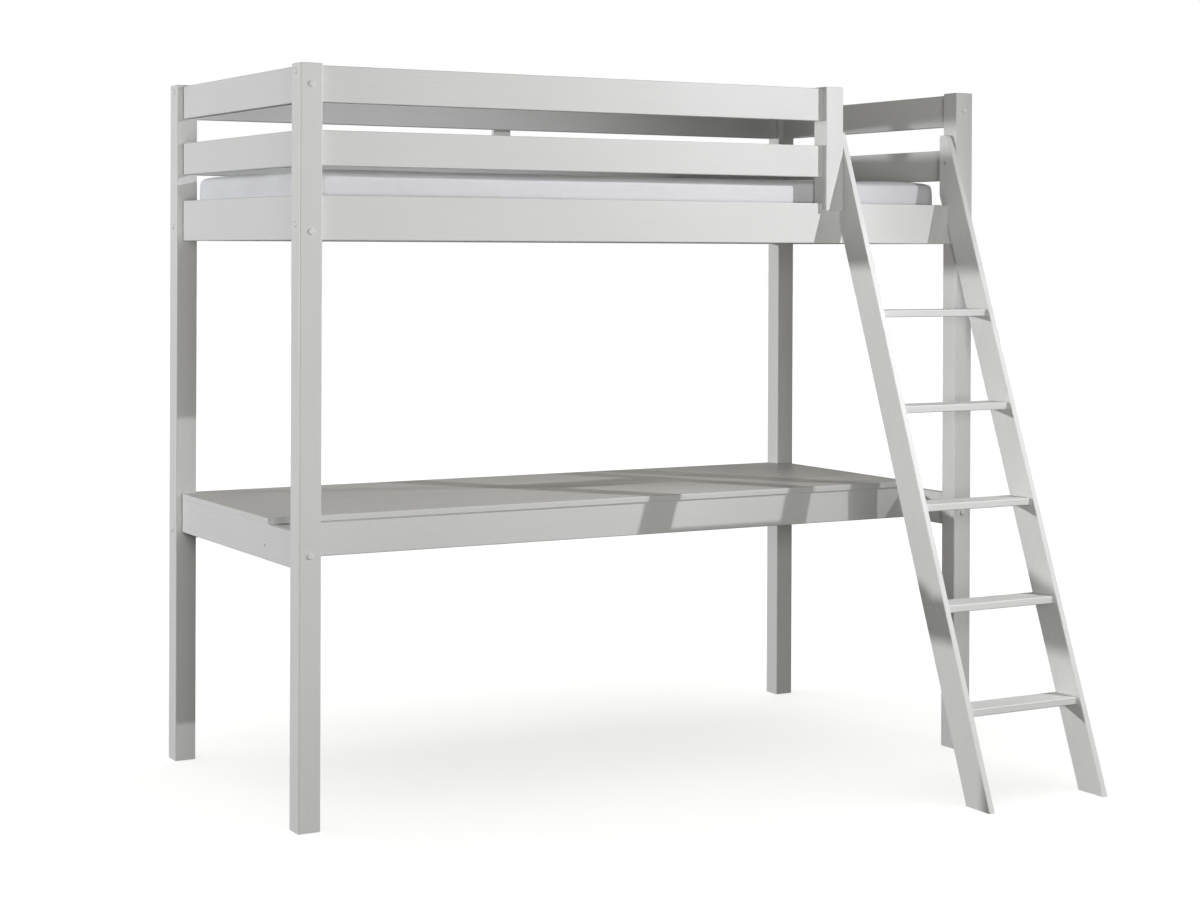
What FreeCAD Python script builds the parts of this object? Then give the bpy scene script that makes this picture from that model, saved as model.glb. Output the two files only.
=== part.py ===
"""Loft bed with a desk below it and a leaning ladder, in painted pine.

Frame: millimetres, +X to the right along the bed's length, +Y to the rear, +Z up.
The origin is on the floor, in the middle of the whole footprint, ladder included.
"""
import FreeCAD, Part
import math
import os
from collections import namedtuple

V = FreeCAD.Vector
X_AXIS = V(1, 0, 0)
Y_AXIS = V(0, 1, 0)
Z_AXIS = V(0, 0, 1)

# ---- Driving dimensions: frame -------------------------------------------------
LENGTH = 2094.0            # over the posts, left to right
WIDTH = 988.0              # over the posts, front to rear
HEIGHT = 1910.0            # top of the posts
POST = 60.0                # square section of every post
RAIL_T = 24.0              # thickness of every rail, centred in its post
POST_EASE = 4.0            # rounding of the posts' edges
POST_TOP_EASE = 2.4        # rounding of the posts' tops
RAIL_EASE = 3.0            # rounding of the rails' long edges

GUARD_TOP_Z = 1906.0       # upper edge of the upper guard rails
GUARD_MID_Z = 1745.0       # upper edge of the middle guard rails
GUARD_TOP_H = 92.0
GUARD_MID_H = 89.0
BED_RAIL_Z = 1583.0        # upper edge of the bed rails
BED_RAIL_H = 113.0

# ---- Driving dimensions: short guard post and rear batten ------------------------
SHORT_POST_X = 1575.0      # its left face, from the left end of the bed
SHORT_POST_LAP = 21.0      # how far it hangs in front of the bed rail
BATTEN_W = 58.0
BATTEN_T = 18.0
BATTEN_BOTTOM = 1486.0
BATTEN_TOP = 1897.0
BATTEN_SCREW_L = 35.0
LAP_SCREW_L = 36.0         # from behind the bed rail into the short post

# ---- Driving dimensions: ladder ----------------------------------------------------
LADDER_LEAN = 20.85        # degrees from upright
STRINGER_W = 92.0          # across the board
STRINGER_T = 18.0
STRINGER_TOP = 1787.0
SEAT_KNEE_Z = 1527.0       # where the rear edge leaves the bed rail's face
STRINGER_BACK = 55.0       # plumb rear cut, from the front face of the posts
STRINGER_RELIEF = 35.0     # height of the slanted cut above the bed rail
STRINGER_NOSE_R = 14.0     # front corner of the stringer's top
STRINGER_HEEL_R = 6.0      # rear corner of the stringer's top
STRINGER_EASE = 2.5
TREAD_COUNT = 5
TREAD_FIRST = 249.0        # upper face of the lowest tread
TREAD_RISE = 259.0
TREAD_T = 20.0
TREAD_DEPTH = 88.0
TREAD_REAR_GAP = 2.0       # from the stringer's rear edge to the tread's upper rear edge
TREAD_HOUSING = 5.0        # how deep the tread's ends are let into the stringers
TREAD_SCREW_L = 40.0
TREAD_SCREW_SPREAD = 15.0  # each screw's distance from the stringer's middle line
LADDER_BOLT_Z = 1705.0
LADDER_BOLT_SINK = 6.0     # from the stringer's face to the bolt's head
LADDER_HEAD_T = 5.0
LADDER_SHAFT_L = 38.0
LADDER_SOCKET_DEPTH = 3.0
INSERT_L = 20.0            # threaded insert in the post

# ---- Driving dimensions: desk ---------------------------------------------------------
DESK_RAIL_TOP = 739.0
DESK_RAIL_H = 93.0
DESK_REAR_RAIL_H = 113.0
DESK_TOP_T = 16.0
DESK_FRONT = 270.0         # front face of the desk's front rail, from the posts' front
DESK_OVERHANG = 6.5
DESK_CORNER_R = 14.0
DESK_POST_PLAY = 0.5       # between the top's notches and the rear posts
DESK_SCREW_L = 42.0
DESK_SCREW_COVER = 4.0     # board left above a screw's tip
DESK_SCREW_SHARE = 0.8     # how far out the end screws stand

# ---- Driving dimensions: slatted base and mattress ---------------------------------------
LEDGER_W = 22.0
LEDGER_H = 28.0
LEDGER_TOP = 1506.0
LEDGER_SCREWS = 7
LEDGER_SCREW_L = 40.0
LEDGER_MARGIN = 200.0      # from the bed's end to the first screw
SLAT_COUNT = 15
SLAT_W = 68.0
SLAT_T = 14.0
SLAT_LENGTH = 900.0
SLAT_EASE = 2.0
SLAT_SCREW_L = 30.0
SLAT_END_MARGIN = 55.0     # from an end rail to the nearest slat's edge
WEBBING_W = 18.0
WEBBING_T = 1.2
WEBBING_INSET = 150.0      # from a slat's end to the webbing's middle
MATTRESS_LENGTH = 1992.0
MATTRESS_SHIFT = -7.0      # of its middle, towards the left end
MATTRESS_WIDTH = 880.0
MATTRESS_T = 125.0
MATTRESS_CORNER_R = 55.0
MATTRESS_EDGE_R = 24.0
SOFT_GAP = 0.3             # clearance of the mattress above the slats

# ---- Driving dimensions: fasteners ----------------------------------------------------------
BOLT_D = 6.0
BOLT_HEAD_D = 12.0
BOLT_HEAD_T = 3.0
BOLT_REACH = 52.0          # how far a bolt enters the rail's end
SOCKET_D = 4.0
SOCKET_DEPTH = 2.5
NUT_D = 10.0
NUT_L = 18.0
NUT_DEPTH = 38.0           # barrel nut's axis, from the rail's end
CAP_D = 17.0
CAP_H = 3.5
CAP_ROUND = 3.0            # rounding of the cap's rim
DOWEL_D = 8.0
DOWEL_L = 30.0
DOWEL_SHARES = (0.18, 0.5, 0.82)   # places up a rail's end, two of them used
SCREW_D = 4.0
SCREW_HEAD_D = 8.0
SCREW_HEAD_T = 3.0
PLUG_D = 8.0
PLUG_PROUD = 0.6
PLUG_DEPTH = 4.0
TOUCH = 0.01               # how near two places count as one

# ---- Derived places ------------------------------------------------------------------------
LEAN = math.radians(LADDER_LEAN)
INSET = (POST - RAIL_T) / 2
STRINGER_RUN = STRINGER_W / math.cos(LEAN)
LADDER_REACH = SEAT_KNEE_Z * math.tan(LEAN) + STRINGER_RUN - INSET
LEFT = -LENGTH / 2
RIGHT = LENGTH / 2
FRONT = (LADDER_REACH - WIDTH - CAP_H) / 2
REAR = FRONT + WIDTH
FRONT_LINE = FRONT + POST / 2
REAR_LINE = REAR - POST / 2
LEFT_LINE = LEFT + POST / 2
RIGHT_LINE = RIGHT - POST / 2
RAIL_FACE = FRONT + INSET
SHORT_LEFT = LEFT + SHORT_POST_X
SHORT_RIGHT = SHORT_LEFT + POST
SLAT_TOP = LEDGER_TOP + SLAT_T
DESK_LINE = FRONT + DESK_FRONT + RAIL_T / 2

Rail = namedtuple("Rail", "name axis start end line bottom height bolt")
Joint = namedtuple("Joint", "host rail face into line bolt dowels host_depth")


def box(x0, x1, y0, y1, z0, z1):
    """A block between two corners."""
    return Part.makeBox(x1 - x0, y1 - y0, z1 - z0, V(x0, y0, z0))


def rod(diameter, length, start, direction):
    return Part.makeCylinder(diameter / 2, length, start, direction)


def along(edge, axis):
    """True where a straight edge runs along the axis."""
    if len(edge.Vertexes) < 2:
        return False
    span = edge.Vertexes[1].Point - edge.Vertexes[0].Point
    return span.Length > 0 and abs(span.dot(axis)) > 0.999 * span.Length


def ease(solid, axis, radius):
    """Round the solid's edges that run along one axis."""
    return solid.makeFillet(radius, [e for e in solid.Edges if along(e, axis)])


def cut_all(solid, tools):
    return solid.cut(tools) if tools else solid


def save(name, solids):
    """Write one sub-part, either one solid or a group of separate ones."""
    group = list(solids) if isinstance(solids, (list, tuple)) else [solids]
    shape = group[0] if len(group) == 1 else Part.makeCompound(group)
    shape.exportStep(os.path.join("parts", name + ".step"))


# ---- Rails and where they meet their posts ---------------------------------------------------
def rail_list():
    """Every horizontal rail. Its last number is the bolt's height above the rail's lower edge."""
    top = GUARD_TOP_Z - GUARD_TOP_H
    mid = GUARD_MID_Z - GUARD_MID_H
    bed = BED_RAIL_Z - BED_RAIL_H
    desk = DESK_RAIL_TOP - DESK_RAIL_H
    desk_rear = DESK_RAIL_TOP - DESK_REAR_RAIL_H
    x0, x1 = LEFT + POST, RIGHT - POST
    y0, y1 = FRONT + POST, REAR - POST
    rails = [
        Rail("bed_rail_front", "x", x0, x1, FRONT_LINE, bed, BED_RAIL_H, 40.0),
        Rail("bed_rail_rear", "x", x0, x1, REAR_LINE, bed, BED_RAIL_H, 40.0),
        Rail("guard_rail_front_upper", "x", x0, SHORT_LEFT, FRONT_LINE, top, GUARD_TOP_H, 76.0),
        Rail("guard_rail_front_middle", "x", x0, SHORT_LEFT, FRONT_LINE, mid, GUARD_MID_H, None),
        Rail("guard_rail_rear_upper", "x", x0, x1, REAR_LINE, top, GUARD_TOP_H, 76.0),
        Rail("guard_rail_rear_middle", "x", x0, x1, REAR_LINE, mid, GUARD_MID_H, None),
        Rail("desk_rail_rear", "x", x0, x1, REAR_LINE, desk_rear, DESK_REAR_RAIL_H, 27.0),
    ]
    for side, line in (("left", LEFT_LINE), ("right", RIGHT_LINE)):
        rails += [
            Rail("bed_rail_" + side, "y", y0, y1, line, bed, BED_RAIL_H, 22.0),
            Rail("guard_rail_%s_upper" % side, "y", y0, y1, line, top, GUARD_TOP_H, 44.0),
            Rail("guard_rail_%s_middle" % side, "y", y0, y1, line, mid, GUARD_MID_H, None),
            Rail("desk_end_" + side, "y", y0, y1, line, desk, DESK_RAIL_H, 41.0),
        ]
    inner = RAIL_T / 2
    rails.append(Rail("desk_rail_front", "x", LEFT_LINE + inner, RIGHT_LINE - inner, DESK_LINE,
                      desk, DESK_RAIL_H, 44.0))
    return rails


def host_of(rail, at_start):
    """The post or board that carries one end of a rail, and its depth along the rail."""
    if rail.name == "desk_rail_front":
        return ("desk_end_left" if at_start else "desk_end_right"), RAIL_T
    if rail.axis == "x":
        depth_name = "front" if rail.line == FRONT_LINE else "rear"
        if not at_start and rail.end == SHORT_LEFT:
            return "guard_post_short", POST
        return "post_%s_%s" % (depth_name, "left" if at_start else "right"), POST
    side = "left" if rail.line == LEFT_LINE else "right"
    return "post_%s_%s" % ("front" if at_start else "rear", side), POST


def dowel_heights(rail):
    """The two dowels stand clear of the bolt, or evenly where the rail has none."""
    spots = [rail.bottom + rail.height * share for share in DOWEL_SHARES]
    if rail.bolt is None:
        return [spots[0], spots[2]]
    bolt_z = rail.bottom + rail.bolt
    return sorted(spots, key=lambda z: -abs(z - bolt_z))[:2]


def joint_list(rails):
    joints = []
    for rail in rails:
        axis = X_AXIS if rail.axis == "x" else Y_AXIS
        for at_start in (True, False):
            host, depth = host_of(rail, at_start)
            face = rail.start if at_start else rail.end
            bolt_z = None if rail.bolt is None else rail.bottom + rail.bolt
            joints.append(Joint(host, rail.name, face, axis if at_start else axis * -1,
                                rail.line, bolt_z, dowel_heights(rail), depth))
    return joints


def joint_point(joint, z):
    """The point at height z on the face where a rail's end meets its host."""
    if abs(joint.into.x) > 0:
        return V(joint.face, joint.line, z)
    return V(joint.line, joint.face, z)


def bolt_start(joint):
    """Where the bolt's axis enters the host's outer face."""
    return joint_point(joint, joint.bolt) - joint.into * joint.host_depth


def make_bolt(joint):
    start = bolt_start(joint)
    length = joint.host_depth + BOLT_REACH - BOLT_HEAD_T
    head = rod(BOLT_HEAD_D, BOLT_HEAD_T, start, joint.into)
    shaft = rod(BOLT_D, length, start + joint.into * BOLT_HEAD_T, joint.into)
    return head.fuse(shaft).removeSplitter()


def make_cap(joint):
    """A low cover with a rounded rim, whose stem fits the bolt's socket."""
    start = bolt_start(joint)
    out = joint.into * -1
    disc = rod(CAP_D, CAP_H, start, out)
    rim = [e for e in disc.Edges if (e.CenterOfMass - start).dot(out) > CAP_H - TOUCH]
    disc = disc.makeFillet(CAP_ROUND, rim)
    return disc.fuse(rod(SOCKET_D, SOCKET_DEPTH, start, joint.into)).removeSplitter()


def nut_direction(joint):
    """The barrel nut enters from the rail's inner face."""
    if abs(joint.into.x) > 0:
        return Y_AXIS if joint.line < (FRONT + REAR) / 2 else Y_AXIS * -1
    return X_AXIS if joint.line < 0 else X_AXIS * -1


def nut_centre(joint):
    return joint_point(joint, joint.bolt) + joint.into * NUT_DEPTH


def make_nut(joint):
    way = nut_direction(joint)
    return rod(NUT_D, NUT_L, nut_centre(joint) - way * (NUT_L / 2), way)


def nut_hole(joint):
    """The nut's hole, open at the rail's inner face."""
    way = nut_direction(joint)
    return rod(NUT_D, NUT_L / 2 + RAIL_T / 2, nut_centre(joint) - way * (NUT_L / 2), way)


def make_dowels(joint):
    back = joint.into * (-DOWEL_L / 2)
    return [rod(DOWEL_D, DOWEL_L, joint_point(joint, z) + back, joint.into) for z in joint.dowels]


def host_holes(name, joints):
    tools = []
    for joint in joints:
        if joint.host == name:
            tools += make_dowels(joint)
            if joint.bolt is not None:
                tools.append(make_bolt(joint))
    return tools


def rail_holes(name, joints):
    tools = []
    for joint in joints:
        if joint.rail == name:
            tools += make_dowels(joint)
            if joint.bolt is not None:
                tools += [make_bolt(joint), nut_hole(joint)]
    return tools


def rail_blank(rail):
    half = RAIL_T / 2
    top = rail.bottom + rail.height
    if rail.axis == "x":
        board = box(rail.start, rail.end, rail.line - half, rail.line + half, rail.bottom, top)
        return ease(board, X_AXIS, RAIL_EASE)
    board = box(rail.line - half, rail.line + half, rail.start, rail.end, rail.bottom, top)
    return ease(board, Y_AXIS, RAIL_EASE)


# ---- Posts ---------------------------------------------------------------------------------------
def post_blank(x0, y0, bottom):
    """A square post with rounded upright edges and a rounded top."""
    post = ease(box(x0, x0 + POST, y0, y0 + POST, bottom, HEIGHT), Z_AXIS, POST_EASE)
    rim = [e for e in post.Edges if all(abs(v.Z - HEIGHT) < TOUCH for v in e.Vertexes)]
    return post.makeFillet(POST_TOP_EASE, rim)


def short_post_blank():
    """The guard post beside the ladder: it stands on the bed rail and laps over its face."""
    post = post_blank(SHORT_LEFT, FRONT, BED_RAIL_Z - SHORT_POST_LAP)
    rebate = box(SHORT_LEFT, SHORT_RIGHT, RAIL_FACE, FRONT + POST,
                 BED_RAIL_Z - SHORT_POST_LAP, BED_RAIL_Z)
    return post.cut(rebate)


def short_post_dowels():
    """Two upright dowels between the bed rail's edge and the short post."""
    spots = (SHORT_LEFT + POST * 0.25, SHORT_LEFT + POST * 0.75)
    return [rod(DOWEL_D, DOWEL_L, V(x, FRONT_LINE, BED_RAIL_Z - DOWEL_L / 2), Z_AXIS) for x in spots]


# ---- Screws ----------------------------------------------------------------------------------------
def screw(start, direction, length):
    """A countersunk screw, its head's flat face at the start."""
    head = Part.makeCone(SCREW_HEAD_D / 2, SCREW_D / 2, SCREW_HEAD_T, start, direction)
    shaft = rod(SCREW_D, length - SCREW_HEAD_T, start + direction * SCREW_HEAD_T, direction)
    return head.fuse(shaft).removeSplitter()


def short_post_screws():
    """Two screws from behind the bed rail into the short post's lap."""
    z = BED_RAIL_Z - SHORT_POST_LAP / 2
    start_y = RAIL_FACE + RAIL_T
    return [screw(V(SHORT_LEFT + POST * share, start_y, z), Y_AXIS * -1, LAP_SCREW_L)
            for share in (0.5, 0.9)]


def batten_screws():
    screws = []
    for rail_top, height in ((GUARD_TOP_Z, GUARD_TOP_H), (GUARD_MID_Z, GUARD_MID_H),
                             (BED_RAIL_Z, BED_RAIL_H)):
        z = rail_top - height * 0.5
        for x in (-BATTEN_W / 4, BATTEN_W / 4):
            screws.append(screw(V(x, REAR, z), Y_AXIS * -1, BATTEN_SCREW_L))
    return screws


def ledger_screws():
    """A row of screws through each ledger into its bed rail."""
    screws = []
    z = LEDGER_TOP - LEDGER_H / 2
    inner = INSET + RAIL_T + LEDGER_W
    for way, y in ((Y_AXIS * -1, FRONT + inner), (Y_AXIS, REAR - inner)):
        for step in range(LEDGER_SCREWS):
            x = LEFT + LEDGER_MARGIN + step * (LENGTH - 2 * LEDGER_MARGIN) / (LEDGER_SCREWS - 1)
            screws.append(screw(V(x, y, z), way, LEDGER_SCREW_L))
    return screws


def slat_screws():
    """The first and last slats are held down, and the webbing keeps the others apart."""
    screws = []
    places = slat_places()
    for x in (places[0], places[-1]):
        for y in (FRONT + INSET + RAIL_T + LEDGER_W / 2, REAR - INSET - RAIL_T - LEDGER_W / 2):
            screws.append(screw(V(x, y, SLAT_TOP), Z_AXIS * -1, SLAT_SCREW_L))
    return screws


def desk_top_screws():
    """Screws driven up through deep holes in the desk's rails into its top."""
    start_z = DESK_RAIL_TOP + DESK_TOP_T - DESK_SCREW_COVER - DESK_SCREW_L
    out = DESK_SCREW_SHARE * RIGHT
    spots = [(x, y) for x in (-out, 0.0, out) for y in (DESK_LINE, REAR_LINE)]
    spots += [(x, (DESK_LINE + REAR_LINE) / 2) for x in (LEFT_LINE, RIGHT_LINE)]
    return [screw(V(x, y, start_z), Z_AXIS, DESK_SCREW_L) for x, y in spots]


def driver_hole(fixing, bottom):
    """The hole below an upright screw that lets the driver in."""
    centre = fixing.BoundBox.Center
    return rod(SCREW_HEAD_D, fixing.BoundBox.ZMin - bottom, V(centre.x, centre.y, bottom), Z_AXIS)


# ---- Ladder ----------------------------------------------------------------------------------------
def rear_edge_y(z):
    """Y of the stringers' sloping rear edge at a height."""
    return RAIL_FACE - (SEAT_KNEE_Z - z) * math.tan(LEAN)


def stringer_blank(x0):
    """A leaning side board with level feet, a plumb top and a notch over the bed rail."""
    back = FRONT + STRINGER_BACK
    outline = [
        V(x0, rear_edge_y(0), 0),
        V(x0, rear_edge_y(0) - STRINGER_RUN, 0),
        V(x0, rear_edge_y(STRINGER_TOP) - STRINGER_RUN, STRINGER_TOP),
        V(x0, back, STRINGER_TOP),
        V(x0, back, BED_RAIL_Z + STRINGER_RELIEF),
        V(x0, RAIL_FACE + RAIL_T, BED_RAIL_Z),
        V(x0, RAIL_FACE, BED_RAIL_Z),
        V(x0, RAIL_FACE, SEAT_KNEE_Z),
    ]
    board = Part.Face(Part.makePolygon(outline + outline[:1])).extrude(V(STRINGER_T, 0, 0))
    nose = [e for e in board.Edges
            if along(e, X_AXIS) and abs(e.CenterOfMass.z - STRINGER_TOP) < TOUCH]
    front_first = sorted(nose, key=lambda e: e.CenterOfMass.y)
    board = board.makeFillet(STRINGER_NOSE_R, front_first[:1])
    rear_nose = [e for e in board.Edges
                 if along(e, X_AXIS) and e.CenterOfMass.y > back - TOUCH
                 and e.CenterOfMass.z > STRINGER_TOP - TOUCH]
    board = board.makeFillet(STRINGER_HEEL_R, rear_nose)
    return board.makeFillet(STRINGER_EASE, free_stringer_edges(board))


def free_stringer_edges(board):
    """The long side edges that a hand can reach, without the foot and the notch."""
    chosen = []
    for edge in board.Edges:
        middle = edge.CenterOfMass
        upright = not along(edge, X_AXIS)
        on_slope = middle.z < SEAT_KNEE_Z and middle.z > 1.0
        above_notch = middle.z > BED_RAIL_Z + STRINGER_RELIEF
        if upright and edge.Length > 1.0 and (on_slope and not in_notch(middle) or above_notch):
            chosen.append(edge)
    return chosen


def in_notch(point):
    return abs(point.y - RAIL_FACE) < TOUCH


def tread_blank(index):
    top = TREAD_FIRST + index * TREAD_RISE
    y1 = rear_edge_y(top) - TREAD_REAR_GAP
    x0 = SHORT_RIGHT + STRINGER_T - TREAD_HOUSING
    x1 = RIGHT - POST - STRINGER_T + TREAD_HOUSING
    return ease(box(x0, x1, y1 - TREAD_DEPTH, y1, top - TREAD_T, top), X_AXIS, RAIL_EASE)


def tread_fixings():
    """Two screws into each tread's end, and the plugs that cover their heads."""
    screws = []
    plugs = []
    for index in range(TREAD_COUNT):
        z = TREAD_FIRST + index * TREAD_RISE - TREAD_T / 2
        middle = rear_edge_y(z) - STRINGER_RUN / 2
        for outer, way in ((SHORT_RIGHT, X_AXIS), (RIGHT - POST, X_AXIS * -1)):
            for y in (middle - TREAD_SCREW_SPREAD, middle + TREAD_SCREW_SPREAD):
                face = V(outer, y, z)
                screws.append(screw(face + way * PLUG_DEPTH, way, TREAD_SCREW_L))
                plugs.append(rod(PLUG_D, PLUG_DEPTH + PLUG_PROUD, face - way * PLUG_PROUD, way))
    return screws, plugs


def ladder_bolts():
    """One bolt through each stringer's top into the post beside it."""
    bolts = []
    inserts = []
    for inner, way in ladder_bolt_faces():
        start = V(inner, FRONT_LINE, LADDER_BOLT_Z) + way * LADDER_BOLT_SINK
        head = rod(BOLT_HEAD_D, LADDER_HEAD_T, start, way)
        shaft = rod(BOLT_D, LADDER_SHAFT_L, start + way * LADDER_HEAD_T, way)
        socket = rod(SOCKET_D, LADDER_SOCKET_DEPTH, start, way)
        bolts.append(head.fuse(shaft).removeSplitter().cut(socket))
        insert_start = V(inner, FRONT_LINE, LADDER_BOLT_Z) + way * STRINGER_T
        inserts.append(rod(NUT_D, INSERT_L, insert_start, way).cut(shaft))
    return bolts, inserts


def ladder_bolt_faces():
    """The inner face of each stringer, and the way its bolt points."""
    return ((SHORT_RIGHT + STRINGER_T, X_AXIS * -1), (RIGHT - POST - STRINGER_T, X_AXIS))


def ladder_bolt_wells():
    """Each ladder bolt's head and the open recess above it, on the stringer's inner face."""
    depth = LADDER_BOLT_SINK + LADDER_HEAD_T
    return [rod(BOLT_HEAD_D, depth, V(inner, FRONT_LINE, LADDER_BOLT_Z), way)
            for inner, way in ladder_bolt_faces()]


# ---- Slatted base, mattress, desk top and batten ----------------------------------------------------
def slat_places():
    first = LEFT + INSET + RAIL_T + SLAT_END_MARGIN + SLAT_W / 2
    pitch = -2 * first / (SLAT_COUNT - 1)
    return [first + i * pitch for i in range(SLAT_COUNT)]


def make_slats():
    middle = (FRONT + REAR) / 2
    slats = []
    for x in slat_places():
        blank = box(x - SLAT_W / 2, x + SLAT_W / 2, middle - SLAT_LENGTH / 2,
                    middle + SLAT_LENGTH / 2, LEDGER_TOP, SLAT_TOP)
        slats.append(ease(blank, Y_AXIS, SLAT_EASE))
    return slats


def make_webbing():
    """Two flat bands stapled under the slats, which set their spacing."""
    middle = (FRONT + REAR) / 2
    ends = SLAT_LENGTH / 2 - WEBBING_INSET
    places = slat_places()
    bands = []
    for y in (middle - ends, middle + ends):
        bands.append(box(places[0], places[-1], y - WEBBING_W / 2, y + WEBBING_W / 2,
                         LEDGER_TOP - WEBBING_T, LEDGER_TOP))
    return bands


def make_ledger(y0):
    """A support strip fixed along the inner face of a bed rail."""
    x0 = LEFT + POST
    return box(x0, -x0, y0, y0 + LEDGER_W, LEDGER_TOP - LEDGER_H, LEDGER_TOP)


def make_mattress():
    middle = (FRONT + REAR) / 2 + (STRINGER_BACK - INSET - RAIL_T) / 2
    half_l, half_w = MATTRESS_LENGTH / 2, MATTRESS_WIDTH / 2
    bottom = SLAT_TOP + SOFT_GAP
    x0, x1 = MATTRESS_SHIFT - half_l, MATTRESS_SHIFT + half_l
    block = box(x0, x1, middle - half_w, middle + half_w, bottom, bottom + MATTRESS_T)
    block = ease(block, Z_AXIS, MATTRESS_CORNER_R)
    rim = [e for e in block.Edges if not along(e, Z_AXIS)]
    return block.makeFillet(MATTRESS_EDGE_R, rim)


def make_desk_top():
    """The board: rounded at its free front corners, notched round the rear posts."""
    x0, x1 = LEFT + INSET, RIGHT - INSET
    y0, y1 = FRONT + DESK_FRONT - DESK_OVERHANG, REAR - INSET
    top = box(x0, x1, y0, y1, DESK_RAIL_TOP, DESK_RAIL_TOP + DESK_TOP_T)
    corners = [e for e in top.Edges if along(e, Z_AXIS) and e.CenterOfMass.y < y0 + 1.0]
    top = top.makeFillet(DESK_CORNER_R, corners)
    upper = [e for e in top.Edges
             if all(abs(v.Z - DESK_RAIL_TOP - DESK_TOP_T) < TOUCH for v in e.Vertexes)]
    top = top.makeFillet(RAIL_EASE, upper)
    play = DESK_POST_PLAY
    for post_x in (LEFT, RIGHT - POST):
        top = top.cut(box(post_x - play, post_x + POST + play, REAR - POST - play, REAR + play,
                          DESK_RAIL_TOP - 1.0, DESK_RAIL_TOP + DESK_TOP_T + 1.0))
    return top


def make_batten():
    blank = box(-BATTEN_W / 2, BATTEN_W / 2, REAR - BATTEN_T, REAR, BATTEN_BOTTOM, BATTEN_TOP)
    return ease(blank, Z_AXIS, RAIL_EASE)


# ---- Assembly -----------------------------------------------------------------------------------------
def build_posts(joints, inserts):
    corners = [("post_front_left", LEFT, FRONT), ("post_front_right", RIGHT - POST, FRONT),
               ("post_rear_left", LEFT, REAR - POST), ("post_rear_right", RIGHT - POST, REAR - POST)]
    for name, x0, y0 in corners:
        tools = host_holes(name, joints)
        if name == "post_front_right":
            tools += inserts[1]
        save(name, cut_all(post_blank(x0, y0, 0.0), tools))
    tools = host_holes("guard_post_short", joints) + short_post_dowels()
    tools += short_post_screws() + inserts[0]
    save("guard_post_short", cut_all(short_post_blank(), tools))


def build_rails(rails, joints, extra):
    """Every rail, with the holes of its own ends and of what is fixed to it."""
    for rail in rails:
        tools = rail_holes(rail.name, joints) + host_holes(rail.name, joints)
        save(rail.name, cut_all(rail_blank(rail), tools + extra.get(rail.name, [])))


def build_ladder():
    screws, plugs = tread_fixings()
    bolts, inserts = ladder_bolts()
    treads = [tread_blank(i) for i in range(TREAD_COUNT)]
    sides = (("ladder_stringer_left", SHORT_RIGHT), ("ladder_stringer_right", RIGHT - POST - STRINGER_T))
    for name, x0 in sides:
        board = stringer_blank(x0)
        save(name, board.cut(treads + screws + plugs + bolts + ladder_bolt_wells()))
    for index, tread in enumerate(treads):
        save("ladder_tread_%d" % (index + 1), tread.cut(screws))
    save("ladder_tread_screws", screws)
    save("ladder_screw_plugs", plugs)
    save("ladder_bolts", bolts)
    save("ladder_bolt_inserts", inserts)
    return bolts, inserts


def build_fasteners(joints):
    bolted = [j for j in joints if j.bolt is not None]
    bolts = [make_bolt(j) for j in bolted]
    caps = [make_cap(j) for j in bolted]
    nuts = [make_nut(j) for j in bolted]
    save("frame_bolts", [b.cut(c) for b, c in zip(bolts, caps)])
    save("barrel_nuts", [n.cut(b) for n, b in zip(nuts, bolts)])
    save("bolt_caps", caps)
    dowels = [d for j in joints for d in make_dowels(j)]
    save("wood_dowels", dowels + short_post_dowels())


def build_base():
    front_y = RAIL_FACE + RAIL_T
    rear_y = REAR - INSET - RAIL_T - LEDGER_W
    screws = ledger_screws()
    end_screws = slat_screws()
    save("slat_ledger_front", make_ledger(front_y).cut(screws + end_screws))
    save("slat_ledger_rear", make_ledger(rear_y).cut(screws + end_screws))
    save("ledger_screws", screws)
    save("slats", [slat.cut(end_screws) for slat in make_slats()])
    save("slat_screws", end_screws)
    save("slat_webbing", make_webbing())
    save("mattress", make_mattress())
    return screws


def main():
    os.makedirs("parts", exist_ok=True)
    rails = rail_list()
    joints = joint_list(rails)
    ladder_fix, inserts = build_ladder()
    build_posts(joints, [[ladder_fix[0], inserts[0]], [ladder_fix[1], inserts[1]]])

    batten_fix = batten_screws()
    top_fix = desk_top_screws()
    base_fix = build_base()
    desk_bottom = DESK_RAIL_TOP - DESK_RAIL_H
    rear_bottom = DESK_RAIL_TOP - DESK_REAR_RAIL_H
    desk_tools = top_fix + [driver_hole(s, desk_bottom) for s in top_fix]
    rear_tools = top_fix + [driver_hole(s, rear_bottom) for s in top_fix]
    extra = {
        "bed_rail_front": base_fix + short_post_dowels() + short_post_screws(),
        "bed_rail_rear": base_fix + batten_fix,
        "guard_rail_rear_upper": batten_fix,
        "guard_rail_rear_middle": batten_fix,
        "desk_rail_front": desk_tools,
        "desk_rail_rear": rear_tools,
        "desk_end_left": desk_tools,
        "desk_end_right": desk_tools,
    }
    build_rails(rails, joints, extra)
    build_fasteners(joints)

    save("guard_batten_rear", make_batten().cut(batten_fix))
    save("batten_screws", batten_fix)
    save("short_post_screws", short_post_screws())
    save("desk_top", make_desk_top().cut(top_fix))
    save("desk_top_screws", top_fix)


main()
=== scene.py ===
"""Loft bed with a desk: finishes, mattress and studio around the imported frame.

The file is laid out as an add-on and run as a script. All lengths are metres.
"""

import math

import bmesh
import bpy
from bpy.props import FloatProperty, FloatVectorProperty, IntProperty, PointerProperty
from mathutils import Matrix, Vector, noise
from mathutils.bvhtree import BVHTree


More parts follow.
